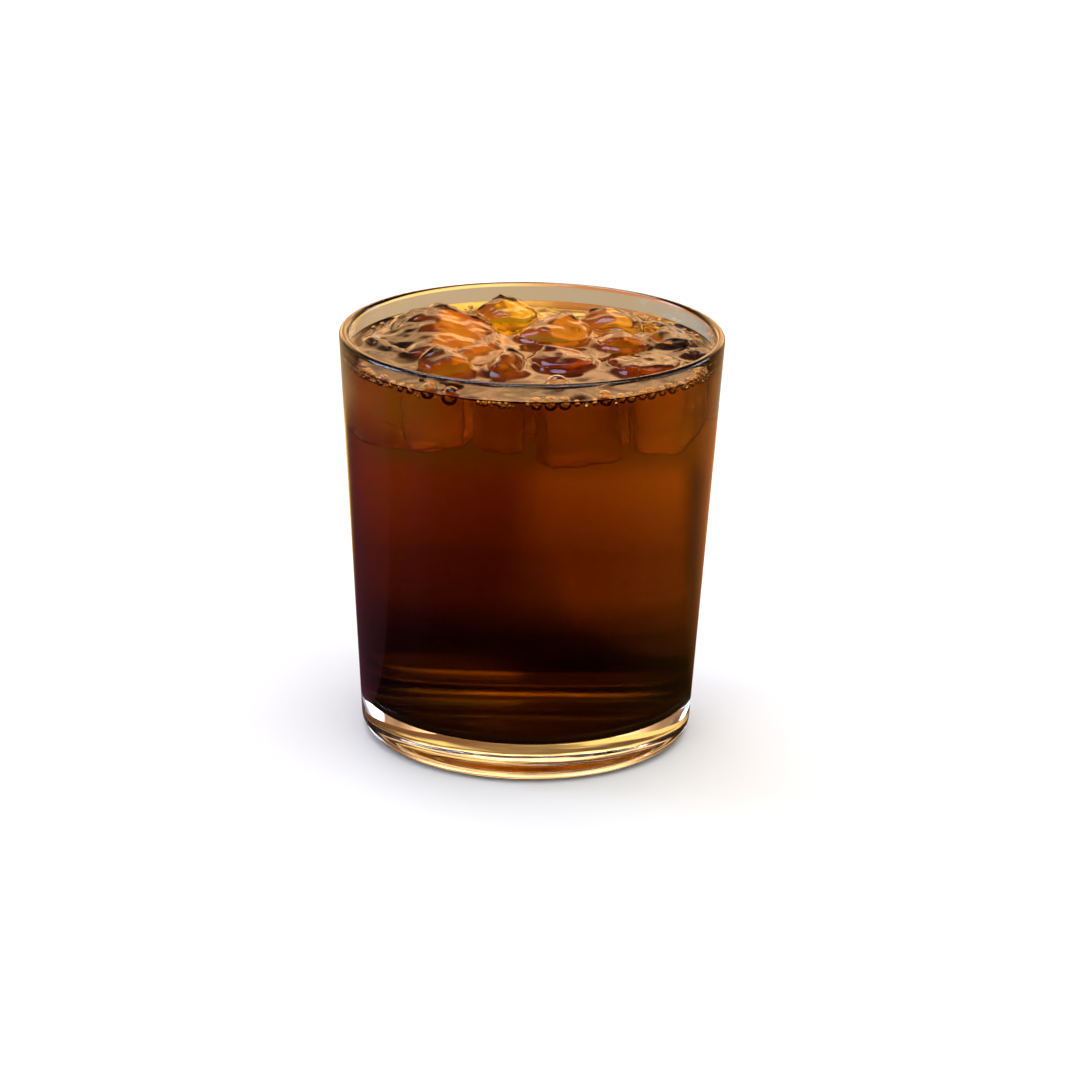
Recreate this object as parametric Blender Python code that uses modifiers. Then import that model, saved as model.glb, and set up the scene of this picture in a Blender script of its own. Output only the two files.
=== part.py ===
"""Iced drip coffee in a plain tumbler: glass, drink and the ice that stands out of the drink.

Metres, +Z up. The origin is the centre of the underside of the glass, on the table. The front faces -Y.
"""

import math
import random

import bmesh
import bpy
from mathutils import Matrix, Vector

MM = 0.001

# Tumbler
HEIGHT = 92.5 * MM
RIM_RADIUS = 42.5 * MM
FOOT_RADIUS = 37.2 * MM
FOOT_ROUNDING = 3.9 * MM
LIP_RADIUS = 1.0 * MM
WALL_AT_FOOT = 2.7 * MM
FLOOR_HEIGHT = 8.0 * MM
FLOOR_CORNER = 5.0 * MM
PUNT_RADIUS = 27.0 * MM
PUNT_DEPTH = 1.6 * MM
CONTACT_RING = 3.0 * MM
TURN_STEPS = 64

# Drink
LEVEL = 87.4 * MM
MENISCUS_RISE = 1.0 * MM
MENISCUS_REACH = 3.0 * MM
MENISCUS_SHARES = [1.0, 0.55, 0.3, 0.15, 0.05, 0.0]
MENISCUS_CURVE = 3
GAP = 0.3 * MM

# Ice: place and size in plan, how far it stands above the drink and reaches below it, all in
# millimetres, then the way it is turned, how steep its two roof facets are, and how far the
# roof climbs towards the back, in degrees, and its number of sides.
ICE = {
    "ice_ridge": dict(
        x=-21.9, y=10.0, width=28, length=32, rise=4.9, depth=21, turn=-4, roof=14, climb=6, sides=7
    ),
    "ice_gold": dict(
        x=-5.6, y=28.0, width=14.2, length=12.5, rise=4.4, depth=20, turn=15, roof=12, climb=9, sides=6
    ),
    "ice_peach": dict(
        x=5.4, y=14.0, width=16, length=15, rise=4.8, depth=19, turn=-25, roof=20, climb=4, sides=6
    ),
    "ice_amber": dict(
        x=17.6, y=24.8, width=14.5, length=11.5, rise=3.6, depth=17, turn=20, roof=15, climb=5, sides=6
    ),
    "ice_brown": dict(
        x=19.8, y=8.2, width=12, length=11.6, rise=3.3, depth=18, turn=8, roof=20, climb=-3, sides=6
    ),
    "ice_olive": dict(
        x=31.4, y=12.2, width=9.5, length=12, rise=2.2, depth=15, turn=18, roof=9, climb=3, sides=6
    ),
    "ice_shard": dict(
        x=28.2, y=21.8, width=7.0, length=5.1, rise=1.7, depth=9, turn=-35, roof=12, climb=0, sides=6
    ),
    "ice_chip": dict(
        x=35.8, y=1.6, width=4.6, length=5.6, rise=1.6, depth=6, turn=5, roof=22, climb=0, sides=6
    ),
    "ice_dome": dict(
        x=-18.6, y=-14.8, width=13, length=11.6, rise=4.8, depth=15, turn=30, roof=22, climb=0, sides=8
    ),
    "ice_point": dict(
        x=-5.6, y=-13.2, width=8.5, length=13, rise=4.4, depth=16, turn=-12, roof=34, climb=5, sides=5
    ),
    "ice_dark": dict(
        x=7.0, y=-7.6, width=15, length=13.5, rise=2.8, depth=20, turn=35, roof=12, climb=2, sides=7
    ),
    "ice_flat": dict(
        x=24.9, y=-9.6, width=15, length=16.3, rise=2.4, depth=17, turn=-20, roof=7, climb=-2, sides=7
    ),
}
ICE_EDGE = 1.4 * MM
SMALLEST_EDGE = 0.6 * MM
CORNER_ALLOWANCE = 1.1
BLANK_SIZE = 200 * MM
FIRST_SIDE = 12
SIDE_JITTER = 0.18
SIDE_LEAN = (-6, 9)
SIDE_SPREAD = 0.10
SUMMIT_SHARE = 0.8
UNDERSIDE_SLOPE = 38
UNDERSIDE_SHARES = (0.86, 0.98)

# Bubbles where the drink meets the glass: from one angle to the next, counted from the front
# towards +X in degrees, with their radius and how far inward they float, in millimetres
BUBBLES = [
    dict(start=2.0, end=13.5, count=3, radius=1.35),
    dict(start=22.0, end=22.0, count=1, radius=0.8),
    dict(start=26.5, end=26.5, count=1, radius=1.6),
    dict(start=33.0, end=58.0, count=9, radius=0.85),
    dict(start=64.0, end=70.0, count=2, radius=0.7),
    dict(start=-6.0, end=-3.0, count=2, radius=0.6),
    dict(start=-26.0, end=-26.0, count=1, radius=1.9),
    dict(start=-33.0, end=-33.0, count=1, radius=1.7),
    dict(start=-70.0, end=-38.0, count=12, radius=0.8),
    dict(start=12.0, end=12.0, count=1, radius=3.0, inward=11.0),
    dict(start=105.0, end=150.0, count=6, radius=0.75),
    dict(start=-160.0, end=-115.0, count=5, radius=0.8),
]
BUBBLE_SINK = 0.15
BUBBLE_SPREAD = 0.1
BUBBLE_SEED = 7

SHARP_ANGLE = 30


def clear_scene():
    for found in list(bpy.data.objects):
        bpy.data.objects.remove(found)


def new_collection(name):
    made = bpy.data.collections.new(name)
    bpy.context.scene.collection.children.link(made)
    return made


def new_material(name, colour, roughness, transmission=0.0, ior=1.5):
    made = bpy.data.materials.new(name)
    made.use_nodes = True
    shader = made.node_tree.nodes["Principled BSDF"]
    shader.inputs["Base Color"].default_value = (*colour, 1.0)
    shader.inputs["Roughness"].default_value = roughness
    shader.inputs["Metallic"].default_value = 0.0
    shader.inputs["Transmission Weight"].default_value = transmission
    shader.inputs["IOR"].default_value = ior
    return made


def new_object(name, mesh, collection, material=None):
    made = bpy.data.objects.new(name, mesh)
    collection.objects.link(made)
    if material:
        mesh.materials.append(material)
    return made


def arc(centre_r, centre_z, radius, start, end, steps):
    """Points (r, z) on an arc, from the start angle to the end angle in degrees."""
    angles = [math.radians(start + (end - start) * i / steps) for i in range(steps + 1)]
    return [(centre_r + radius * math.cos(a), centre_z + radius * math.sin(a)) for a in angles]


def turned(name, profile, collection, material):
    """A solid of revolution about Z. The profile runs from axis to axis."""
    mesh = bpy.data.meshes.new(name)
    edges = [(i, i + 1) for i in range(len(profile) - 1)]
    mesh.from_pydata([(r, 0.0, z) for r, z in profile], edges, [])
    made = new_object(name, mesh, collection, material)
    screw = made.modifiers.new("turn", "SCREW")
    screw.axis = "Z"
    screw.steps = TURN_STEPS
    screw.render_steps = TURN_STEPS
    screw.use_merge_vertices = True
    screw.merge_threshold = 0.00002
    screw.use_smooth_shade = True
    return made


def outer_radius(z):
    """Outer radius of the straight, slightly flared wall at height z."""
    share = (z - FOOT_ROUNDING) / (HEIGHT - LIP_RADIUS - FOOT_ROUNDING)
    return FOOT_RADIUS + (RIM_RADIUS - FOOT_RADIUS) * share


def inner_radius(z):
    """Inner radius of the wall, which thickens evenly from the lip down to the foot."""
    share = (HEIGHT - LIP_RADIUS - z) / (HEIGHT - LIP_RADIUS - FOOT_ROUNDING)
    wall = 2 * LIP_RADIUS + (WALL_AT_FOOT - 2 * LIP_RADIUS) * share
    return outer_radius(z) - wall


def well(inset):
    """The tumbler's floor inside, drawn in by inset, from the axis to where the wall starts."""
    corner_z = FLOOR_HEIGHT + FLOOR_CORNER
    corner_r = inner_radius(corner_z) - FLOOR_CORNER
    return [(0.0, FLOOR_HEIGHT + inset)] + arc(corner_r, corner_z, FLOOR_CORNER - inset, -90, 0, 5)


def make_glass(collection, material):
    lip_z = HEIGHT - LIP_RADIUS
    lip_r = RIM_RADIUS - LIP_RADIUS
    contact_r = FOOT_RADIUS - FOOT_ROUNDING
    profile = well(0.0)
    profile += arc(lip_r, lip_z, LIP_RADIUS, 180, 0, 6)
    profile += arc(contact_r, FOOT_ROUNDING, FOOT_ROUNDING, 0, -90, 5)
    profile += [(contact_r - CONTACT_RING, 0.0)]
    profile += [(PUNT_RADIUS, PUNT_DEPTH * 0.6), (PUNT_RADIUS * 0.8, PUNT_DEPTH), (0.0, PUNT_DEPTH)]
    return turned("glass", profile, collection, material)


def make_drink(collection, material):
    """The drink fills the tumbler to its level, and climbs the wall a little."""
    wall_z = LEVEL + MENISCUS_RISE
    wall_r = inner_radius(wall_z) - GAP
    surface = [
        (wall_r - MENISCUS_REACH * share, LEVEL + MENISCUS_RISE * (1 - share) ** MENISCUS_CURVE)
        for share in MENISCUS_SHARES
    ]
    side = list(reversed(well(GAP)))
    return turned("coffee", [(0.0, LEVEL)] + surface + side, collection, material)


def cut_off(body, normal, distance):
    """Slices the body with a plane, removes what lies beyond it, and closes the cut with one face."""
    everything = body.verts[:] + body.edges[:] + body.faces[:]
    cut = bmesh.ops.bisect_plane(
        body, geom=everything, plane_co=normal * distance, plane_no=normal, clear_outer=True
    )
    rim = [part for part in cut["geom_cut"] if isinstance(part, bmesh.types.BMEdge)]
    if rim:
        bmesh.ops.contextual_create(body, geom=rim)


def slope(azimuth, steepness):
    """Unit vector at an angle above the horizontal, both in degrees."""
    a = math.radians(azimuth)
    s = math.radians(steepness)
    return Vector((math.cos(a) * math.cos(s), math.sin(a) * math.cos(s), math.sin(s)))


def facets_of(piece, draw):
    """Each facet of a piece of ice as (outward normal, distance from the piece's own origin)."""
    half_width = piece["width"] / 2 * MM
    half_length = piece["length"] / 2 * MM
    facets = []
    for i in range(piece["sides"]):
        azimuth = 360 * (i + draw.uniform(-SIDE_JITTER, SIDE_JITTER)) / piece["sides"] + FIRST_SIDE
        out = slope(azimuth, draw.uniform(*SIDE_LEAN))
        reach = math.hypot(half_width * out.x, half_length * out.y)
        facets.append((out, reach * (1 - draw.uniform(0, SIDE_SPREAD))))
    climb = Matrix.Rotation(math.radians(piece["climb"]), 3, "X")
    uphill = 1 if piece["climb"] > 0 else -1
    summit = Vector((0, half_length * SUMMIT_SHARE * uphill, piece["rise"] * MM))
    for side in (0, 180):
        roof = climb @ slope(side, 90 - piece["roof"])
        facets.append((roof, roof.dot(summit)))
    for i in range(3):
        under = slope(120 * i + draw.uniform(0, 60), -90 + UNDERSIDE_SLOPE)
        facets.append((under, piece["depth"] * MM * draw.uniform(*UNDERSIDE_SHARES)))
    facets.append((Vector((0, 0, -1)), piece["depth"] * MM))
    return facets


def wrapped(points, name):
    """The smallest convex mesh round the points."""
    body = bmesh.new()
    for point in points:
        body.verts.new(point)
    skin = bmesh.ops.convex_hull(body, input=body.verts[:])
    inside = [part for part in skin["geom_interior"] if isinstance(part, bmesh.types.BMVert)]
    bmesh.ops.delete(body, geom=inside, context="VERTS")
    bmesh.ops.recalc_face_normals(body, faces=body.faces[:])
    mesh = bpy.data.meshes.new(name)
    body.to_mesh(mesh)
    body.free()
    return mesh


def make_ice(name, piece, collection, material):
    """A block with flat facets and melted edges: a box sliced by each facet in turn, then bevelled."""
    draw = random.Random(name)
    body = bmesh.new()
    bmesh.ops.create_cube(body, size=BLANK_SIZE)
    for normal, distance in facets_of(piece, draw):
        cut_off(body, normal, distance)
    bmesh.ops.remove_doubles(body, verts=body.verts[:], dist=SMALLEST_EDGE)
    bmesh.ops.bevel(
        body,
        geom=body.edges[:],
        offset=ICE_EDGE,
        segments=2,
        profile=0.5,
        affect="EDGES",
        clamp_overlap=True,
    )
    bmesh.ops.remove_doubles(body, verts=body.verts[:], dist=SMALLEST_EDGE / 2)
    made = new_object(name, wrapped([vert.co for vert in body.verts], name), collection, material)
    body.free()
    place = Matrix.Translation(Vector((piece["x"] * MM, piece["y"] * MM, LEVEL)))
    made.matrix_world = place @ Matrix.Rotation(math.radians(piece["turn"]), 4, "Z")
    return made


def make_cutter(ice, collection):
    """The hollow that a piece of ice leaves in the drink: the piece, grown by the gap all round."""
    name = ice.name + "_cutter"
    grown = [vert.co + vert.normal * GAP * CORNER_ALLOWANCE for vert in ice.data.vertices]
    cutter = new_object(name, wrapped(grown, name), collection)
    cutter.matrix_world = ice.matrix_world
    cutter.hide_render = True
    cutter.display_type = "WIRE"
    return cutter


def make_bubbles(collection):
    """Small domes on the drink, in a row along the glass, each set at random a little up or down."""
    draw = random.Random(BUBBLE_SEED)
    for group in BUBBLES:
        for i in range(group["count"]):
            share = i / max(1, group["count"] - 1)
            angle = math.radians(group["start"] + (group["end"] - group["start"]) * share)
            radius = group["radius"] * MM * draw.uniform(1 - BUBBLE_SPREAD, 1 + BUBBLE_SPREAD)
            far = inner_radius(LEVEL) - 2 * GAP - radius - group.get("inward", 0) * MM
            body = bmesh.new()
            bmesh.ops.create_uvsphere(body, u_segments=7, v_segments=5, radius=radius)
            mesh = bpy.data.meshes.new("bubble")
            body.to_mesh(mesh)
            body.free()
            bubble = new_object("bubble", mesh, collection)
            height = LEVEL - radius * BUBBLE_SINK
            bubble.location = (far * math.sin(angle), -far * math.cos(angle), height)


def boolean(target, operation, collection):
    made = target.modifiers.new(operation.lower(), "BOOLEAN")
    made.operation = operation
    made.operand_type = "COLLECTION"
    made.collection = collection
    made.solver = "EXACT"
    return made


def apply_modifiers(target):
    """Turns the object, as its modifiers leave it, into a plain mesh."""
    bpy.context.view_layer.update()
    graph = bpy.context.evaluated_depsgraph_get()
    mesh = bpy.data.meshes.new_from_object(target.evaluated_get(graph))
    target.modifiers.clear()
    target.data = mesh


def build():
    clear_scene()
    parts = new_collection("iced_coffee")
    cutters = new_collection("ice_cutters")
    domes = new_collection("bubbles")

    glass = new_material("clear glass", (0.96, 0.97, 0.96), 0.03, transmission=1.0, ior=1.5)
    coffee = new_material("drip coffee", (0.075, 0.018, 0.004), 0.08)
    ice = new_material("wet ice", (0.85, 0.62, 0.36), 0.06, transmission=0.7, ior=1.31)

    make_glass(parts, glass)
    drink = make_drink(parts, coffee)

    make_bubbles(domes)
    boolean(drink, "UNION", domes)
    apply_modifiers(drink)
    for bubble in list(domes.objects):
        bpy.data.objects.remove(bubble)
    bpy.data.collections.remove(domes)

    for name, piece in ICE.items():
        make_cutter(make_ice(name, piece, parts, ice), cutters)
    boolean(drink, "DIFFERENCE", cutters)

    for made in parts.objects:
        made.data.shade_smooth()
        made.data.set_sharp_from_angle(angle=math.radians(SHARP_ANGLE))


build()
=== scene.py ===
import math
import random

import bpy
from mathutils import Matrix, Vector, kdtree, noise


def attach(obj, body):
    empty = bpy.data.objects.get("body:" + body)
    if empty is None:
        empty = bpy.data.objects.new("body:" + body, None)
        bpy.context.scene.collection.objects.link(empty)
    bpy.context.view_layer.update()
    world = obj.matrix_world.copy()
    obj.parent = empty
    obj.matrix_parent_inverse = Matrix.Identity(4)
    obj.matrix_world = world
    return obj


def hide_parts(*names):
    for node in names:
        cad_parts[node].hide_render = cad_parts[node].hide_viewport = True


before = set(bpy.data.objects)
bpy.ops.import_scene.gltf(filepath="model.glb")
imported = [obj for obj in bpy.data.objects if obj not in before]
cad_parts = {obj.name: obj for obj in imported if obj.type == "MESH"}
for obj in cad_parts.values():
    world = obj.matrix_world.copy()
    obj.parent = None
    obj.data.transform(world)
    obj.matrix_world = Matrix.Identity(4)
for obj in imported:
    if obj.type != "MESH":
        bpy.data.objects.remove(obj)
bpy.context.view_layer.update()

mm = 0.001
print("frame loaded:", len(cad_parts), "nodes")


# small helpers

def deselectAll():
    if bpy.context.object and bpy.context.object.mode != "OBJECT":
        bpy.ops.object.mode_set(mode="OBJECT")
    bpy.ops.object.select_all(action="DESELECT")


def pick(obj):
    deselectAll()
    obj.select_set(True)
    bpy.context.view_layer.objects.active = obj
    return obj


def applyAll(obj):
    pick(obj)
    for modifier in list(obj.modifiers):
        bpy.ops.object.modifier_apply(modifier=modifier.name)


def bake(obj):
    # the place goes into the mesh, as on a node of the frame
    pick(obj)
    bpy.ops.object.transform_apply(location=True, rotation=True, scale=True)


def finishPiece(obj, slot, *nodes):
    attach(obj, "root")
    if nodes:
        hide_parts(*nodes)


def spinProfile(name, profile, steps):
    # a single vertex is extruded from point to point, and the line is then spun about the axis
    deselectAll()
    bpy.ops.mesh.primitive_plane_add(size=mm, location=(profile[0][0], 0, profile[0][1]))
    made = bpy.context.object
    made.name = made.data.name = name
    bake(made)
    bpy.ops.object.mode_set(mode="EDIT")
    bpy.ops.mesh.select_all(action="SELECT")
    bpy.ops.mesh.merge(type="CENTER")
    for before, after in zip(profile, profile[1:]):
        move = (after[0] - before[0], 0, after[1] - before[1])
        bpy.ops.mesh.extrude_region_move(TRANSFORM_OT_translate={"value": move})
    bpy.ops.mesh.select_all(action="SELECT")
    bpy.ops.mesh.spin(steps=steps, angle=2 * math.pi, center=(0, 0, 0), axis=(0, 0, 1))
    bpy.ops.mesh.select_all(action="SELECT")
    bpy.ops.mesh.remove_doubles(threshold=0.00002)
    bpy.ops.mesh.normals_make_consistent(inside=False)
    bpy.ops.object.mode_set(mode="OBJECT")
    bpy.ops.object.shade_smooth()
    return made


def arc(centreR, centreZ, radius, start, end, steps):
    angles = [math.radians(start + (end - start) * i / steps) for i in range(steps + 1)]
    return [(centreR + radius * math.cos(a), centreZ + radius * math.sin(a)) for a in angles]


# node helpers

def newMaterial(name):
    made = bpy.data.materials.new(name)
    made.use_nodes = True
    return made, made.node_tree.nodes, made.node_tree.links, made.node_tree.nodes["Principled BSDF"]


def addNode(nodes, kind, **values):
    made = nodes.new(kind)
    for key, value in values.items():
        if hasattr(made, key):
            setattr(made, key, value)
        else:
            made.inputs[key.replace("_", " ")].default_value = value
    return made


def remap(nodes, links, value, start, end, low=0.0, high=1.0, smooth=False):
    # what runs from start to end is made to run from low to high
    made = addNode(nodes, "ShaderNodeMapRange", interpolation_type="SMOOTHSTEP" if smooth else "LINEAR")
    for socket, number in (("From Min", start), ("From Max", end), ("To Min", low), ("To Max", high)):
        made.inputs[socket].default_value = number
    links.new(value, made.inputs["Value"])
    return made.outputs["Result"]


def multiply(nodes, links, first, second):
    # second is another output or a plain number
    made = addNode(nodes, "ShaderNodeMath", operation="MULTIPLY")
    links.new(first, made.inputs[0])
    if isinstance(second, float):
        made.inputs[1].default_value = second
    else:
        links.new(second, made.inputs[1])
    return made.outputs["Value"]


def blendColours(nodes, links, share, first, second):
    # first and second are outputs or plain colours
    made = addNode(nodes, "ShaderNodeMix", data_type="RGBA")
    links.new(share, made.inputs["Factor"])
    for socket, colour in (("A", first), ("B", second)):
        if isinstance(colour, tuple):
            made.inputs[socket].default_value = (*colour, 1.0)
        else:
            links.new(colour, made.inputs[socket])
    return made.outputs["Result"]


def ramp(nodes, stops):
    made = nodes.new("ShaderNodeValToRGB")
    elements = made.color_ramp.elements
    while len(elements) < len(stops):
        elements.new(0.5)
    for element, (place, colour) in zip(elements, stops):
        element.position = place
        element.color = (*colour, 1.0)
    return made


# the tumbler

tumbler = dict(
    height=92.5 * mm, rimRadius=42.5 * mm, footRadius=37.2 * mm, footRounding=3.9 * mm,
    lip=1.0 * mm, wallAtFoot=2.7 * mm, floor=8.0 * mm, corner=5.0 * mm,
    puntRadius=27.0 * mm, puntDepth=1.6 * mm, contactRing=3.0 * mm, ringSlope=(1.2 * mm, 0.25 * mm),
    steps=160, cornerSteps=10, lipSteps=12,
)
wallHeights = [z * mm for z in (30, 50, 70, 84)]  # where the wall has a ring of points


def outerRadius(z):
    t = tumbler
    share = (z - t["footRounding"]) / (t["height"] - t["lip"] - t["footRounding"])
    return t["footRadius"] + (t["rimRadius"] - t["footRadius"]) * share


def innerRadius(z):
    t = tumbler
    share = (t["height"] - t["lip"] - z) / (t["height"] - t["lip"] - t["footRounding"])
    return outerRadius(z) - 2 * t["lip"] - (t["wallAtFoot"] - 2 * t["lip"]) * share


def well(inset, steps):
    t = tumbler
    cornerZ = t["floor"] + t["corner"]
    cornerR = innerRadius(cornerZ) - t["corner"]
    return [(0.0, t["floor"] + inset)] + arc(cornerR, cornerZ, t["corner"] - inset, -90, 0, steps)


def makeTumbler():
    t = tumbler
    contactR = t["footRadius"] - t["footRounding"]
    slopeAcross, slopeUp = t["ringSlope"]
    profile = well(0.0, t["cornerSteps"])
    profile += [(innerRadius(z), z) for z in wallHeights]
    profile += arc(t["rimRadius"] - t["lip"], t["height"] - t["lip"], t["lip"], 180, 0, t["lipSteps"])
    profile += [(outerRadius(z), z) for z in reversed(wallHeights)]
    profile += [(outerRadius(12 * mm), 12 * mm)]
    profile += arc(contactR, t["footRounding"], t["footRounding"], 0, -90, t["cornerSteps"])
    profile += [(contactR - t["contactRing"], 0.0), (contactR - t["contactRing"] - slopeAcross, slopeUp)]
    profile += [(t["puntRadius"], t["puntDepth"] * 0.6), (t["puntRadius"] * 0.8, t["puntDepth"])]
    profile += [(t["puntRadius"] * 0.4, t["puntDepth"]), (0.0, t["puntDepth"])]
    return spinProfile("clearTumbler", profile, t["steps"])


# the ice

ice = dict(
    voxel=0.6 * mm, smoothing=12, dimple=1.1 * mm, dimpleSize=5.0 * mm, dimpleLevel=0.6,
    overlap=0.15 * mm,
)


def cloudTexture(name, size):
    made = bpy.data.textures.new(name, "CLOUDS")
    made.noise_scale = size
    made.noise_depth = 1
    return made


iceClouds = cloudTexture("iceClouds", ice["dimpleSize"])


def melt(obj):
    remesh = obj.modifiers.new("even", "REMESH")
    remesh.mode = "VOXEL"
    remesh.voxel_size = ice["voxel"]
    soften = obj.modifiers.new("soften", "SMOOTH")
    soften.iterations = ice["smoothing"]
    dimples = obj.modifiers.new("dimples", "DISPLACE")
    dimples.texture = iceClouds
    dimples.texture_coords = "GLOBAL"
    dimples.strength = ice["dimple"]
    dimples.mid_level = ice["dimpleLevel"]
    applyAll(obj)
    bpy.ops.object.shade_smooth()


def makeFloatingIce(node):
    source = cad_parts[node]
    words = node.split("_")
    made = bpy.data.objects.new("floatingIce" + words[1].capitalize(), source.data.copy())
    made.data.name = made.name
    bpy.context.scene.collection.objects.link(made)
    made.data.materials.clear()
    pick(made)
    bpy.ops.object.mode_set(mode="EDIT")
    bpy.ops.mesh.select_all(action="SELECT")
    bpy.ops.mesh.remove_doubles(threshold=0.00001)
    bpy.ops.object.mode_set(mode="OBJECT")
    melt(made)
    return made


def makeHollow(piece):
    # the piece drawn in a little, to cut the drink with, so that ice and drink overlap by a hair
    made = piece.copy()
    made.data = piece.data.copy()
    made.name = piece.name + "Hollow"
    bpy.context.scene.collection.objects.link(made)
    shrink = made.modifiers.new("shrink", "DISPLACE")
    shrink.strength = -ice["overlap"]
    shrink.mid_level = 0.0
    applyAll(made)
    return made


# the drink

drink = dict(
    level=87.4 * mm, meniscusRise=1.0 * mm, meniscusReach=3.0 * mm, intoWall=0.15 * mm,
    steps=200, ring=0.65 * mm,
    ripple=0.45 * mm, rippleSize=9.0 * mm, fineRipple=2.3, calmAtWall=3.0 * mm,
    collar=0.9 * mm, collarReach=1.1 * mm, collarShape=1.3, waterline=0.5 * mm,
    sharpAbove=40,  # degrees between two faces
)


def surfaceHeight(radius):
    # the level, and the climb of the drink at the wall
    d = drink
    wallR = innerRadius(d["level"] + d["meniscusRise"]) + d["intoWall"]
    share = max(0.0, (wallR - radius) / d["meniscusReach"])
    return d["level"] + d["meniscusRise"] * max(0.0, 1 - share) ** 3


def rippleSurface(obj, icePieces):
    # small ripples everywhere, and a collar where the drink clings to the ice
    d = drink
    waterline = []
    for piece in icePieces:
        corners = [v.co.copy() for v in piece.data.vertices]
        waterline += [co for co in corners if abs(co.z - d["level"]) < d["waterline"]]
    tree = kdtree.KDTree(len(waterline))
    for i, co in enumerate(waterline):
        tree.insert((co.x, co.y, 0.0), i)
    tree.balance()
    wallR = innerRadius(d["level"])
    for v in obj.data.vertices:
        radius = math.hypot(v.co.x, v.co.y)
        if v.co.z > surfaceHeight(radius) - 0.05 * mm and radius < wallR - 0.1 * mm:
            fade = min(1.0, (wallR - radius) / d["calmAtWall"])
            fine = noise.noise(v.co * d["fineRipple"] / d["rippleSize"])
            wave = noise.noise(v.co / d["rippleSize"]) + 0.5 * fine
            distance = tree.find((v.co.x, v.co.y, 0.0))[2]
            cling = math.exp(-((distance / d["collarReach"]) ** d["collarShape"]))
            v.co.z += fade * d["ripple"] * wave + min(1.0, fade * 2) * d["collar"] * cling


def makeDrink(icePieces):
    d = drink
    wallR = innerRadius(d["level"] + d["meniscusRise"]) + d["intoWall"]
    rings = int(wallR / d["ring"])
    profile = [(wallR * i / rings, surfaceHeight(wallR * i / rings)) for i in range(rings + 1)]
    profile += [(innerRadius(z) + d["intoWall"], z) for z in reversed(wallHeights)]
    profile += list(reversed(well(-d["intoWall"], tumbler["cornerSteps"])))
    made = spinProfile("coffeeDrink", profile, d["steps"])
    rippleSurface(made, icePieces)
    return made


def smoothByAngle(obj):
    # the edges of the hollows stay sharp
    pick(obj)
    bpy.ops.object.shade_smooth_by_angle(angle=math.radians(drink["sharpAbove"]))


def hollowOut(obj, hollows):
    for hollow in hollows:
        cut = obj.modifiers.new("hollow", "BOOLEAN")
        cut.operation = "DIFFERENCE"
        cut.object = hollow
        cut.solver = "MANIFOLD"
        applyAll(obj)
        bpy.data.objects.remove(hollow)
    smoothByAngle(obj)


# bubbles at the edge of the drink

# by angle from the front towards +X in degrees, radius and height above the level in millimetres
bigBubbles = [
    dict(angle=1.6, radius=1.35, up=0.15),
    dict(angle=6.0, radius=1.45, up=0.10),
    dict(angle=10.4, radius=1.40, up=0.12),
    dict(angle=14.0, radius=0.75, up=0.25),
    dict(angle=-1.0, radius=0.60, up=0.30),
    dict(angle=19.6, radius=0.75, up=0.20),
    dict(angle=23.6, radius=1.60, up=0.55),
    dict(angle=28.6, radius=1.05, up=0.30),
    dict(angle=32.0, radius=1.15, up=0.20),
    dict(angle=36.0, radius=1.00, up=0.25),
    dict(angle=39.6, radius=1.20, up=0.20),
    dict(angle=43.8, radius=1.00, up=0.25),
    dict(angle=48.2, radius=1.10, up=0.20),
    dict(angle=53.0, radius=0.80, up=0.20),
    dict(angle=-26.0, radius=1.90, up=0.20),
    dict(angle=-33.6, radius=1.70, up=0.55),
    dict(angle=-39.5, radius=0.95, up=0.30),
    dict(angle=-43.5, radius=0.90, up=0.20),
    dict(angle=-47.5, radius=0.80, up=0.25),
    dict(angle=-53.0, radius=1.10, up=0.15),
    dict(angle=12.0, radius=3.0, up=-0.4, inward=10.6),
]
# a span is from an angle to an angle, with a number of bubbles
bubbleRows = dict(
    seed=3, radius=(0.45, 0.80), up=(0.1, 0.4), unevenness=0.2,
    spans=[(-80, -56, 12), (56, 76, 9), (-16, -6, 6), (110, 160, 9), (-165, -110, 9)],
)
bubbleFilm = dict(thickness=0.10 * mm, fromWall=0.1 * mm)
# inward, sink and wallRadius are in millimetres, lower and hides are shares of a bubble's radius
foam = dict(
    seed=5, radius=(0.22 * mm, 0.42 * mm), inward=(0.3, 2.2), sink=(0.0, 0.35), cover=0.16 * mm,
    spans=[(-80, -30, 110), (-16, -5, 22), (14, 70, 90), (90, 270, 60)],
    wallRadius=39, lower=1.25, hides=1.1, clearOfIce=0.4 * mm,
)
specks = dict(
    seed=9, count=46, radius=(0.10 * mm, 0.20 * mm), spread=65,
    heights=(45 * mm, 84 * mm), depth=(0.6 * mm, 5.0 * mm),
)


def makePattern(detail):
    deselectAll()
    bpy.ops.mesh.primitive_ico_sphere_add(subdivisions=detail, radius=1.0)
    return bpy.context.object


def addBall(name, place, radius, pattern, inverted=False):
    made = pattern.copy()
    made.data = pattern.data.copy()
    made.name = made.data.name = name
    made.data.transform(Matrix.Translation(place) @ Matrix.Scale(radius, 4))
    if inverted:
        made.data.flip_normals()
    bpy.context.scene.collection.objects.link(made)
    return made


def joinAll(name, objs):
    deselectAll()
    for obj in objs:
        obj.select_set(True)
    bpy.context.view_layer.objects.active = objs[0]
    bpy.ops.object.join()
    objs[0].name = objs[0].data.name = name
    bpy.ops.object.shade_smooth()
    return objs[0]


def atWall(far, angle, height):
    # a place by its distance from the axis and its angle from the front
    return Vector((far * math.sin(angle), -far * math.cos(angle), height))


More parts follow.
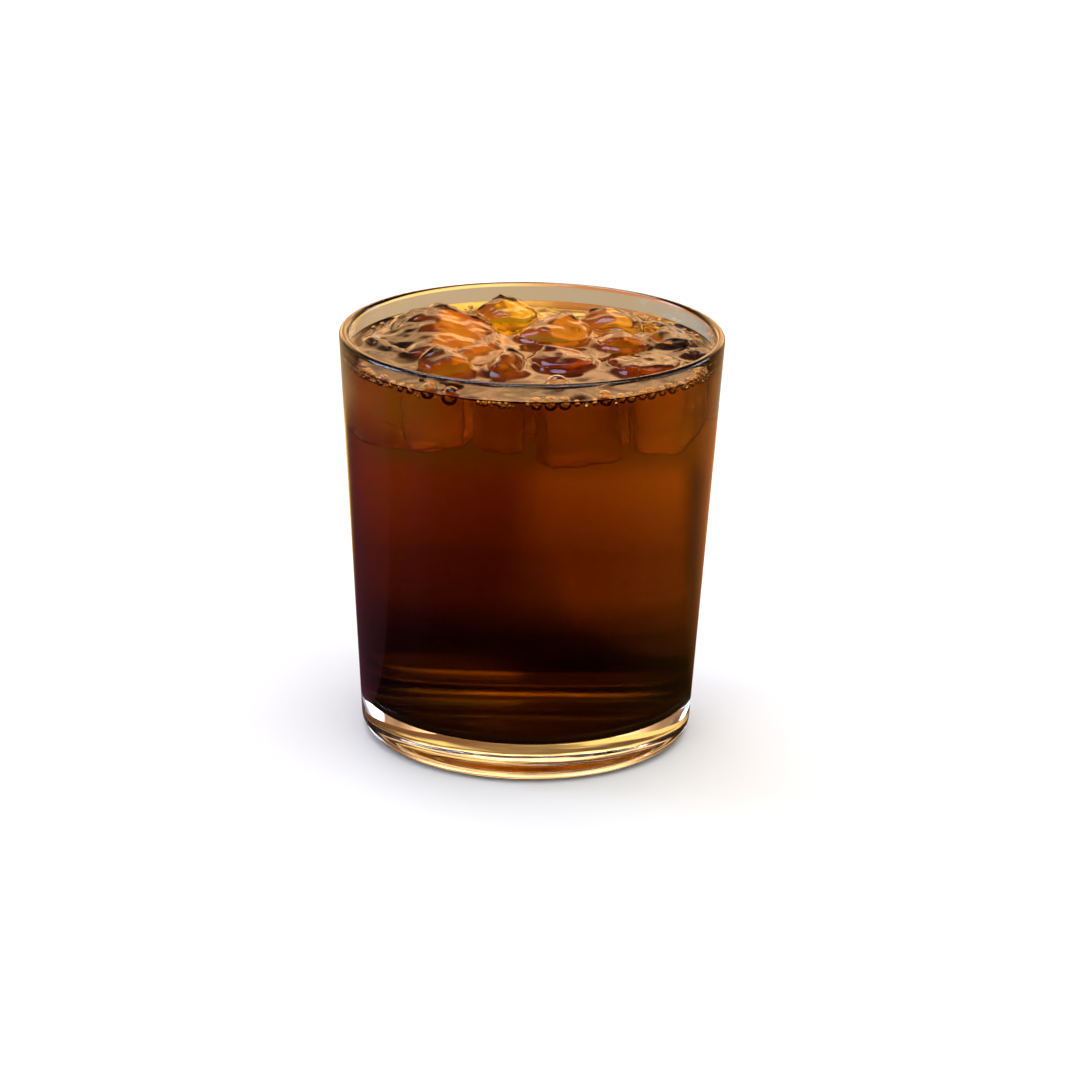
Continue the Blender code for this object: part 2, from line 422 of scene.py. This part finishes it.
def makeBubbles(pattern):
    # a bubble is a thin film, with a dent for it in the drink
    films, dents = [], []
    draw = random.Random(bubbleRows["seed"])
    uneven = bubbleRows["unevenness"]
    rows = []
    for start, end, count in bubbleRows["spans"]:
        for i in range(count):
            angle = start + (end - start) * (i + draw.uniform(-uneven, uneven)) / count
            radius = draw.uniform(*bubbleRows["radius"])
            rows.append(dict(angle=angle, radius=radius, up=draw.uniform(*bubbleRows["up"])))
    for bubble in bigBubbles + rows:
        radius = bubble["radius"] * mm
        far = innerRadius(drink["level"]) - radius - bubbleFilm["fromWall"] - bubble.get("inward", 0.0) * mm
        place = atWall(far, math.radians(bubble["angle"]), drink["level"] + bubble["up"] * mm)
        inside = radius - bubbleFilm["thickness"]
        films.append(addBall("film", place, radius, pattern))
        films.append(addBall("filmInside", place, inside, pattern, inverted=True))
        dents.append(addBall("dent", place, radius - bubbleFilm["thickness"] / 2, pattern))
    return joinAll("edgeBubbles", films), dents


def behindBigBubble(angle):
    # a big bubble hides the foam behind it
    for bubble in bigBubbles:
        width = math.degrees(bubble["radius"] / foam["wallRadius"]) * foam["hides"]
        if abs(math.degrees(angle) - bubble["angle"]) < width:
            return True
    return False


def placeFoam():
    # tiny closed hollows in the drink: a row of foam along the wall, and specks at the glass
    draw = random.Random(foam["seed"])
    balls = []
    for start, end, count in foam["spans"]:
        for i in range(count):
            radius = draw.uniform(*foam["radius"])
            angle = math.radians(draw.uniform(start, end))
            inward = draw.uniform(*foam["inward"]) * mm
            if behindBigBubble(angle):
                continue
            far = innerRadius(drink["level"]) - radius - inward
            height = surfaceHeight(far) - radius * foam["lower"] - foam["cover"]
            height -= draw.uniform(*foam["sink"]) * mm
            balls.append((atWall(far, angle, height), radius))
    draw = random.Random(specks["seed"])
    for i in range(specks["count"]):
        radius = draw.uniform(*specks["radius"])
        angle = math.radians(draw.uniform(-specks["spread"], specks["spread"]))
        height = draw.uniform(*specks["heights"])
        far = innerRadius(height) - draw.uniform(*specks["depth"])
        balls.append((atWall(far, angle, height), radius))
    return balls


def clearOf(place, radius, icePieces):
    # true if a ball there touches no ice
    for piece in icePieces:
        found, near, normal, _ = piece.closest_point_on_mesh(place)
        tooNear = (near - place).length < radius + foam["clearOfIce"]
        inside = (place - near).dot(normal) < 0
        if found and (tooNear or inside):
            return False
    return True


# materials

glassLook = dict(
    tint=(0.985, 0.99, 0.985), roughness=0.01, bend=1.5,
    waveScale=180.0, waveStretch=(1.0, 1.0, 0.06), bump=0.12, bumpHeight=0.2 * mm,
)
coffeeLook = dict(
    bend=1.33, density=80.0, tint=(0.74, 0.55, 0.0), strongBelow=10 * mm, thinAbove=84 * mm,
    # the haze comes in from the glass and from the level, over these stretches
    haze=0.2, hazeWithin=36.5 * mm, hazeFade=1.5 * mm, hazeUnder=(1.5 * mm, 4.0 * mm),
    # the flat underside stays clear up to the first height over the floor, and takes the painted-light tint
    # from the second
    clearUnder=(0.1 * mm, 0.6 * mm),
    # painted light by height: near black at the bottom for painted shade, a faint lighter band low down,
    # and pale amber at the top for a painted glow
    colours=[
        (0.0, (0.012, 0.007, 0.002)),
        (0.09, (0.02, 0.012, 0.003)),
        (0.15, (0.13, 0.08, 0.018)),
        (0.21, (0.30, 0.19, 0.04)),
        (0.35, (0.19, 0.11, 0.025)),
        (0.60, (0.62, 0.40, 0.11)),
        (0.85, (1.0, 0.84, 0.40)),
    ],
)
iceLook = dict(
    bend=1.33, strength=0.3, wetRoughness=0.01, sunkRoughness=0.15, clearTint=(1.0, 0.98, 0.94),
    patchScale=95.0, patchEdges=(0.38, 0.62), stainDepth=2.0 * mm,
    bumpScale=260.0, bump=0.12, bumpHeight=0.6 * mm,
)
# the pale and the deep colour of each piece above the level: partly the drink's stain, partly painted
# light, lighter where light comes through from behind and darker where the piece is in shade
iceStainAndPaintedLight = {
    "Ridge": ((0.95, 0.48, 0.06), (0.48, 0.12, 0.05)),
    "Gold": ((1.0, 0.98, 0.05), (1.0, 0.74, 0.02)),
    "Peach": ((1.0, 0.70, 0.42), (0.80, 0.50, 0.26)),
    "Amber": ((0.92, 0.55, 0.08), (0.62, 0.32, 0.06)),
    "Brown": ((0.85, 0.50, 0.14), (0.55, 0.28, 0.07)),
    "Olive": ((1.0, 0.95, 0.30), (0.95, 0.75, 0.18)),
    "Shard": ((1.0, 0.80, 0.12), (0.90, 0.62, 0.10)),
    "Chip": ((0.85, 0.42, 0.10), (0.60, 0.26, 0.06)),
    "Dome": ((1.0, 0.94, 0.85), (0.95, 0.80, 0.62)),
    "Point": ((1.0, 0.88, 0.66), (0.90, 0.66, 0.42)),
    "Dark": ((0.80, 0.24, 0.06), (0.55, 0.10, 0.03)),
    "Flat": ((0.95, 0.36, 0.06), (0.70, 0.18, 0.04)),
}
# the film's gold tints: partly the coffee film's own colour, partly a painted golden glint
filmLook = dict(bend=1.33, scale=400.0, stains=[(0.35, (1.0, 0.92, 0.70)), (0.65, (1.0, 0.80, 0.45))])


def newClearMaterial(name, bend, roughness=0.0):
    made, nodes, links, shader = newMaterial(name)
    shader.inputs["Transmission Weight"].default_value = 1.0
    shader.inputs["IOR"].default_value = bend
    shader.inputs["Roughness"].default_value = roughness
    return made, nodes, links, shader


def addStainedDepth(made, density):
    # what shines through the drink or the ice is coloured by the way it has gone
    nodes, links = made.node_tree.nodes, made.node_tree.links
    absorb = addNode(nodes, "ShaderNodeVolumeAbsorption", Density=density)
    absorb.inputs["Color"].default_value = (*coffeeLook["tint"], 1.0)
    links.new(absorb.outputs["Volume"], nodes["Material Output"].inputs["Volume"])


def makeGlassMaterial():
    # faint upright waves, as in pressed glass
    look = glassLook
    made, nodes, links, shader = newClearMaterial("clearGlass", look["bend"], look["roughness"])
    shader.inputs["Base Color"].default_value = (*look["tint"], 1.0)
    place = addNode(nodes, "ShaderNodeTexCoord")
    stretch = addNode(nodes, "ShaderNodeMapping", Scale=look["waveStretch"])
    waves = addNode(nodes, "ShaderNodeTexNoise", Scale=look["waveScale"], Detail=1.0)
    bump = addNode(nodes, "ShaderNodeBump", Strength=look["bump"], Distance=look["bumpHeight"])
    links.new(place.outputs["Object"], stretch.inputs["Vector"])
    links.new(stretch.outputs["Vector"], waves.inputs["Vector"])
    links.new(waves.outputs["Fac"], bump.inputs["Height"])
    links.new(bump.outputs["Normal"], shader.inputs["Normal"])
    return made


def makeIceGroup():
    # stained by the drink in soft patches, with painted light in each piece's colour above the level, wet
    # and smooth in the air, blurred below the level
    look = iceLook
    made = bpy.data.node_groups.new("stainedIceWithPaintedLight", "ShaderNodeTree")
    for socket in ("Pale", "Deep"):
        made.interface.new_socket(socket, in_out="INPUT", socket_type="NodeSocketColor")
    made.interface.new_socket("Colour", in_out="OUTPUT", socket_type="NodeSocketColor")
    made.interface.new_socket("Roughness", in_out="OUTPUT", socket_type="NodeSocketFloat")
    made.interface.new_socket("Normal", in_out="OUTPUT", socket_type="NodeSocketVector")
    nodes, links = made.nodes, made.links
    given = nodes.new("NodeGroupInput")
    result = nodes.new("NodeGroupOutput")
    place = addNode(nodes, "ShaderNodeTexCoord")
    patches = addNode(nodes, "ShaderNodeTexNoise", Scale=look["patchScale"], Detail=2.0, Distortion=0.8)
    links.new(place.outputs["Object"], patches.inputs["Vector"])
    share = remap(nodes, links, patches.outputs["Fac"], *look["patchEdges"])
    tintWithPaintedLight = blendColours(nodes, links, share, given.outputs["Pale"], given.outputs["Deep"])
    split = addNode(nodes, "ShaderNodeSeparateXYZ")
    links.new(place.outputs["Object"], split.inputs["Vector"])
    above = remap(nodes, links, split.outputs["Z"], drink["level"] - look["stainDepth"], drink["level"])
    colour = blendColours(nodes, links, above, look["clearTint"], tintWithPaintedLight)
    links.new(colour, result.inputs["Colour"])
    rough = remap(nodes, links, above, 0.0, 1.0, look["sunkRoughness"], look["wetRoughness"])
    links.new(rough, result.inputs["Roughness"])
    grain = addNode(nodes, "ShaderNodeTexNoise", Scale=look["bumpScale"], Detail=3.0)
    bump = addNode(nodes, "ShaderNodeBump", Strength=look["bump"], Distance=look["bumpHeight"])
    links.new(place.outputs["Object"], grain.inputs["Vector"])
    links.new(grain.outputs["Fac"], bump.inputs["Height"])
    links.new(bump.outputs["Normal"], result.inputs["Normal"])
    return made


def makeIceMaterial(name, tint, group):
    made, nodes, links, shader = newClearMaterial(name, iceLook["bend"])
    melted = nodes.new("ShaderNodeGroup")
    melted.node_tree = group
    for socket, colour in zip(("Pale", "Deep"), tint):
        melted.inputs[socket].default_value = (*colour, 1.0)
    links.new(melted.outputs["Colour"], shader.inputs["Base Color"])
    links.new(melted.outputs["Roughness"], shader.inputs["Roughness"])
    links.new(melted.outputs["Normal"], shader.inputs["Normal"])
    addStainedDepth(made, coffeeLook["density"] * iceLook["strength"])
    return made


def makeFilmMaterial():
    made, nodes, links, shader = newClearMaterial("bubbleFilm", filmLook["bend"])
    place = addNode(nodes, "ShaderNodeTexCoord")
    # noise picks between the film's gold tints, which are partly the coffee film's colour and partly a
    # painted golden glint
    thickness = addNode(nodes, "ShaderNodeTexNoise", Scale=filmLook["scale"], Detail=1.0)
    tintWithPaintedLight = ramp(nodes, filmLook["stains"])
    links.new(place.outputs["Object"], thickness.inputs["Vector"])
    links.new(thickness.outputs["Fac"], tintWithPaintedLight.inputs["Fac"])
    links.new(tintWithPaintedLight.outputs["Color"], shader.inputs["Base Color"])
    return made


def makeCoffeeMaterial():
    look = coffeeLook
    made, nodes, links, shader = newClearMaterial("dripCoffee", look["bend"])
    place = addNode(nodes, "ShaderNodeTexCoord")
    split = addNode(nodes, "ShaderNodeSeparateXYZ")
    links.new(place.outputs["Object"], split.inputs["Vector"])
    # painted light: the surface tint darkens to near black towards the bottom as painted shade, and
    # brightens to pale amber towards the top as a painted glow of light coming down through the ice
    height = remap(nodes, links, split.outputs["Z"], look["strongBelow"], look["thinAbove"])
    colours = ramp(nodes, look["colours"])
    links.new(height, colours.inputs["Fac"])
    # the flat underside stays clear, so that the thick base mirrors the room
    clearTo, tintedFrom = (tumbler["floor"] + rise for rise in look["clearUnder"])
    wall = remap(nodes, links, split.outputs["Z"], clearTo, tintedFrom)
    tintWithPaintedLight = blendColours(nodes, links, wall, (1.0, 1.0, 1.0), colours.outputs["Color"])
    links.new(tintWithPaintedLight, shader.inputs["Base Color"])
    # fine grounds blur what lies deep in the drink
    flat = addNode(nodes, "ShaderNodeVectorMath", operation="MULTIPLY")
    flat.inputs[1].default_value = (1.0, 1.0, 0.0)
    reach = addNode(nodes, "ShaderNodeVectorMath", operation="LENGTH")
    links.new(place.outputs["Object"], flat.inputs[0])
    links.new(flat.outputs["Vector"], reach.inputs[0])
    hazeInner = look["hazeWithin"] - look["hazeFade"]
    inward = remap(nodes, links, reach.outputs["Value"], look["hazeWithin"], hazeInner)
    hazeFrom, hazeTo = (drink["level"] - depth for depth in look["hazeUnder"])
    under = remap(nodes, links, split.outputs["Z"], hazeFrom, hazeTo)
    haze = multiply(nodes, links, multiply(nodes, links, inward, under), look["haze"])
    links.new(multiply(nodes, links, haze, wall), shader.inputs["Roughness"])
    addStainedDepth(made, look["density"])
    return made


# floor, light and camera

# a direction on the table is a share of the turn: 0.5 is +X, 0.75 is +Y, 0 and 1 are -X and 0.25 is -Y
studio = dict(
    floorSize=8.0, floorColour=(0.86, 0.85, 0.83), floorRoughness=0.8,
    # painted shade on the table top under the glass, by distance from the middle of the foot over
    # underRadius: a painted shadow under the drink, a little lighter towards the edge of the foot
    underGlass=[
        (0.0, (0.02, 0.006, 0.002)),
        (0.55, (0.03, 0.012, 0.004)),
        (0.64, (0.10, 0.05, 0.02)),
        (0.74, (0.10, 0.05, 0.02)),
    ],
    underRadius=52 * mm, underEdge=(0.74, 0.86),
    # painted light and shade on the table top round the glass, by direction: bright bands behind where
    # light comes through and dark in front, seen in the glass and drink as painted reflections and back
    # light
    tableBands=[
        (0.00, (0.03, 0.006, 0.01)),
        (0.06, (0.06, 0.018, 0.04)),
        (0.10, (0.02, 0.004, 0.006)),
        (0.25, (0.010, 0.002, 0.0)),
        (0.36, (0.02, 0.006, 0.001)),
        (0.46, (0.14, 0.06, 0.01)),
        (0.56, (0.14, 0.06, 0.01)),
        (0.64, (0.62, 0.20, 0.06)),
        (0.70, (0.85, 0.33, 0.10)),
        (0.745, (0.70, 0.26, 0.10)),
        (0.755, (1.45, 0.90, 0.26)),
        (0.812, (1.50, 0.88, 0.28)),
        (0.84, (0.25, 0.12, 0.05)),
        (0.87, (0.10, 0.03, 0.05)),
    ],
    # left of the middle, the table is in shadow near the glass
    shadow=0.25, shadowReach=(45 * mm, 165 * mm), shadowEdge=(0.748, 0.756),
    # painted light and shade on the table top far from the glass, by direction, seen in the glass and drink
    # as painted reflections and back light
    farBands=[
        (0.00, (0.03, 0.006, 0.01)),
        (0.40, (0.03, 0.008, 0.002)),
        (0.60, (0.20, 0.09, 0.03)),
        (0.66, (0.60, 0.28, 0.10)),
        (0.70, (0.50, 0.40, 0.28)),
        (0.716, (0.52, 0.46, 0.38)),
        (0.732, (0.55, 0.40, 0.24)),
        (0.80, (0.70, 0.47, 0.25)),
        (0.86, (0.60, 0.36, 0.16)),
        (0.93, (0.10, 0.03, 0.05)),
    ],
    farEdge=(225 * mm, 262 * mm),
    # colour of the room by height, from the horizon at 0.0 to straight up at 1.0
    roomBehind=[
        (0.0, (0.80, 0.42, 0.14)),
        (0.10, (1.0, 0.53, 0.22)),
        (0.38, (1.0, 0.54, 0.24)),
        (0.52, (0.10, 0.05, 0.03)),
        (0.80, (0.05, 0.03, 0.03)),
    ],
    roomInFront=[
        (0.0, (0.025, 0.010, 0.004)),
        (0.35, (0.04, 0.02, 0.012)),
        (0.9, (0.07, 0.05, 0.05)),
    ],
    roomStrength=3.4, frontToBack=(-0.1, 0.6), middleToSide=(0.28, 0.62), sideShare=0.12,
    patchScale=3.2, patchEdges=(0.35, 0.65), patchStrength=(0.45, 1.35),
    daylight=(0.95, 0.97, 1.0),
    # bright windows: direction, spread in degrees, colour times strength
    windows=[
        ((-0.88, 0.20, 0.42), 14, (4.0, 5.2, 7.5)),
        ((0.80, 0.52, 0.30), 10, (2.6, 3.2, 4.2)),
        ((-0.24, 0.44, 0.87), 14, (4.2, 4.8, 7.0)),
        ((-0.25, -0.50, 0.83), 7, (9.0, 7.5, 5.5)),
        ((0.25, -0.35, 0.90), 8, (2.0, 1.8, 2.2)),
        ((-0.95, 0.05, 0.28), 24, (0.7, 0.85, 1.2)),
        ((0.95, 0.15, 0.28), 24, (0.6, 0.68, 0.85)),
    ],
    windowCore=0.7,
)
lamp = dict(place=(0.3, -0.3, 1.5), size=1.2, power=9, colour=(1.0, 0.97, 0.93))
view = dict(place=(0, -0.81857, 0.32151), aim=(0.0025521, 0, 0.0439043), roll=1.04, lens=128.57, sensor=36)


def scaleColour(nodes, links, colour, factor):
    made = addNode(nodes, "ShaderNodeVectorMath", operation="SCALE")
    links.new(colour, made.inputs["Vector"])
    links.new(factor, made.inputs["Scale"])
    return made.outputs["Vector"]


def chooseShader(nodes, links, share, first, second):
    made = addNode(nodes, "ShaderNodeMixShader")
    links.new(share, made.inputs["Fac"])
    links.new(first, made.inputs[1])
    links.new(second, made.inputs[2])
    return made.outputs["Shader"]


def makeGlowingTableTop(nodes, links):
    # the warm table top of a cafe, glowing with painted light and shade instead of being lit
    place = addNode(nodes, "ShaderNodeTexCoord")
    around = addNode(nodes, "ShaderNodeTexGradient", gradient_type="RADIAL")
    bands, farBands = ramp(nodes, studio["tableBands"]), ramp(nodes, studio["farBands"])
    links.new(place.outputs["Object"], around.inputs["Vector"])
    links.new(around.outputs["Fac"], bands.inputs["Fac"])
    links.new(around.outputs["Fac"], farBands.inputs["Fac"])
    length = addNode(nodes, "ShaderNodeVectorMath", operation="LENGTH")
    links.new(place.outputs["Object"], length.inputs[0])
    share = addNode(nodes, "ShaderNodeMath", operation="DIVIDE")
    share.inputs[1].default_value = studio["underRadius"]
    links.new(length.outputs["Value"], share.inputs[0])
    under = ramp(nodes, studio["underGlass"])
    links.new(share.outputs["Value"], under.inputs["Fac"])
    near = remap(nodes, links, length.outputs["Value"], *studio["shadowReach"], low=studio["shadow"])
    right = remap(nodes, links, around.outputs["Fac"], *studio["shadowEdge"])
    shadow = addNode(nodes, "ShaderNodeMath", operation="MAXIMUM")
    links.new(near, shadow.inputs[0])
    links.new(right, shadow.inputs[1])
    shaded = scaleColour(nodes, links, bands.outputs["Color"], shadow.outputs["Value"])
    distant = remap(nodes, links, length.outputs["Value"], *studio["farEdge"], smooth=True)
    top = blendColours(nodes, links, distant, shaded, farBands.outputs["Color"])
    outside = remap(nodes, links, share.outputs["Value"], *studio["underEdge"], smooth=True)
    # the table top glows with its painted light and shade, though it is no lamp
    table = addNode(nodes, "ShaderNodeEmission", Strength=1.0)
    links.new(blendColours(nodes, links, outside, under.outputs["Color"], top), table.inputs["Color"])
    return table.outputs["Emission"]


def makeStage():
    # the camera sees a pale floor, glass and drink see the glowing table top with its painted light and
    # shade
    deselectAll()
    bpy.ops.mesh.primitive_plane_add(size=studio["floorSize"], location=(0, 0, 0))
    floor = bpy.context.object
    floor.name = "paleFloor"
    made, nodes, links, shader = newMaterial("paleFloor")
    shader.inputs["Base Color"].default_value = (*studio["floorColour"], 1.0)
    shader.inputs["Roughness"].default_value = studio["floorRoughness"]
    rays = addNode(nodes, "ShaderNodeLightPath")
    table = makeGlowingTableTop(nodes, links)
    choice = chooseShader(nodes, links, rays.outputs["Is Camera Ray"], table, shader.outputs["BSDF"])
    links.new(choice, nodes["Material Output"].inputs["Surface"])
    floor.data.materials.append(made)


def makeWorld():
    # plain white light on the floor; glass and drink see a warm room, bright behind and dark in front
    world = bpy.data.worlds.new("studio")
    bpy.context.scene.world = world
    world.use_nodes = True
    nodes, links = world.node_tree.nodes, world.node_tree.links
    place = addNode(nodes, "ShaderNodeTexCoord")
    split = addNode(nodes, "ShaderNodeSeparateXYZ")
    links.new(place.outputs["Generated"], split.inputs["Vector"])
    back, front = ramp(nodes, studio["roomBehind"]), ramp(nodes, studio["roomInFront"])
    links.new(split.outputs["Z"], back.inputs["Fac"])
    links.new(split.outputs["Z"], front.inputs["Fac"])
    across = addNode(nodes, "ShaderNodeMath", operation="ABSOLUTE")
    links.new(split.outputs["X"], across.inputs[0])
    behind = remap(nodes, links, split.outputs["Y"], *studio["frontToBack"], smooth=True)
    edges, sideShare = studio["middleToSide"], studio["sideShare"]
    narrow = remap(nodes, links, across.outputs["Value"], *edges, low=1.0, high=sideShare, smooth=True)
    middle = multiply(nodes, links, behind, narrow)
    room = blendColours(nodes, links, middle, front.outputs["Color"], back.outputs["Color"])
    patches = addNode(nodes, "ShaderNodeTexNoise", Scale=studio["patchScale"], Detail=2.0)
    links.new(place.outputs["Generated"], patches.inputs["Vector"])
    uneven = remap(nodes, links, patches.outputs["Fac"], *studio["patchEdges"], *studio["patchStrength"])
    total = scaleColour(nodes, links, room, multiply(nodes, links, uneven, studio["roomStrength"]))
    for direction, spread, colour in studio["windows"]:
        towards = addNode(nodes, "ShaderNodeVectorMath", operation="DOT_PRODUCT")
        towards.inputs[1].default_value = Vector(direction).normalized()
        links.new(place.outputs["Generated"], towards.inputs[0])
        edge, core = (math.cos(math.radians(spread * part)) for part in (1.0, studio["windowCore"]))
        inside = remap(nodes, links, towards.outputs["Value"], edge, core, smooth=True)
        more = addNode(nodes, "ShaderNodeVectorMath", operation="MULTIPLY_ADD")
        more.inputs[1].default_value = colour
        links.new(inside, more.inputs[0])
        links.new(total, more.inputs[2])
        total = more.outputs["Vector"]
    seen = addNode(nodes, "ShaderNodeBackground")
    links.new(total, seen.inputs["Color"])
    plain = nodes["Background"]
    plain.inputs["Color"].default_value = (*studio["daylight"], 1.0)
    plain.inputs["Strength"].default_value = 1.0
    rays = addNode(nodes, "ShaderNodeLightPath")
    isDiffuse = rays.outputs["Is Diffuse Ray"]
    choice = chooseShader(nodes, links, isDiffuse, seen.outputs["Background"], plain.outputs["Background"])
    links.new(choice, nodes["World Output"].inputs["Surface"])


def addToScene(name, data):
    made = bpy.data.objects.new(name, data)
    bpy.context.scene.collection.objects.link(made)
    return made


def makeLamp():
    data = bpy.data.lights.new("overhead", "AREA")
    data.size = lamp["size"]
    data.energy = lamp["power"]
    data.color = lamp["colour"]
    made = addToScene("overhead", data)
    made.location = lamp["place"]
    made.rotation_euler = (-Vector(lamp["place"])).to_track_quat("-Z", "Y").to_euler()


def makeCamera():
    data = bpy.data.cameras.new("camera")
    made = addToScene("camera", data)
    place, aim = Vector(view["place"]), Vector(view["aim"])
    turn = (aim - place).to_track_quat("-Z", "Y").to_matrix().to_4x4()
    roll = Matrix.Rotation(math.radians(view["roll"]), 4, "Z")
    made.matrix_world = Matrix.Translation(place) @ turn @ roll
    data.sensor_width = view["sensor"]
    data.lens = view["lens"]
    data.clip_start = 0.01
    bpy.context.scene.camera = made


# building

glassPiece = makeTumbler()
glassPiece.data.materials.append(makeGlassMaterial())
finishPiece(glassPiece, "glass", "glass")
print("tumbler turned")

iceGroup = makeIceGroup()
icePieces = []
for node in sorted(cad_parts):
    if node.startswith("ice_"):
        piece = makeFloatingIce(node)
        kind = piece.name.replace("floatingIce", "")
        piece.data.materials.append(makeIceMaterial("stainedIceWithPaintedLight" + kind, iceStainAndPaintedLight[kind], iceGroup))
        icePieces.append(piece)
        finishPiece(piece, "ice", node)
print("ice melted:", len(icePieces), "pieces")

drinkPiece = makeDrink(icePieces)
fineBall, coarseBall = makePattern(3), makePattern(2)
bubblePiece, dents = makeBubbles(fineBall)
bubblePiece.data.materials.append(makeFilmMaterial())
finishPiece(bubblePiece, "coffee")
hollowOut(drinkPiece, [makeHollow(piece) for piece in icePieces] + dents)
hollowBalls = []
for place, radius in placeFoam():
    if clearOf(place, radius, icePieces):
        hollowBalls.append(addBall("hollow", place, radius, coarseBall, inverted=True))
drinkPiece = joinAll("coffeeDrink", [drinkPiece] + hollowBalls)
for pattern in (fineBall, coarseBall):
    bpy.data.objects.remove(pattern)
smoothByAngle(drinkPiece)
drinkPiece.data.materials.clear()
drinkPiece.data.materials.append(makeCoffeeMaterial())
finishPiece(drinkPiece, "coffee", "coffee")
print("drink poured:", len(drinkPiece.data.polygons), "faces,", len(hollowBalls), "foam bubbles")

makeStage()
makeWorld()
makeLamp()
makeCamera()

scene = bpy.context.scene
scene.view_settings.view_transform = "Standard"
scene.cycles.max_bounces = 32
scene.cycles.transmission_bounces = 32
scene.cycles.glossy_bounces = 12
scene.cycles.use_denoising = True
scene.cycles.caustics_reflective = False
print("stage set")
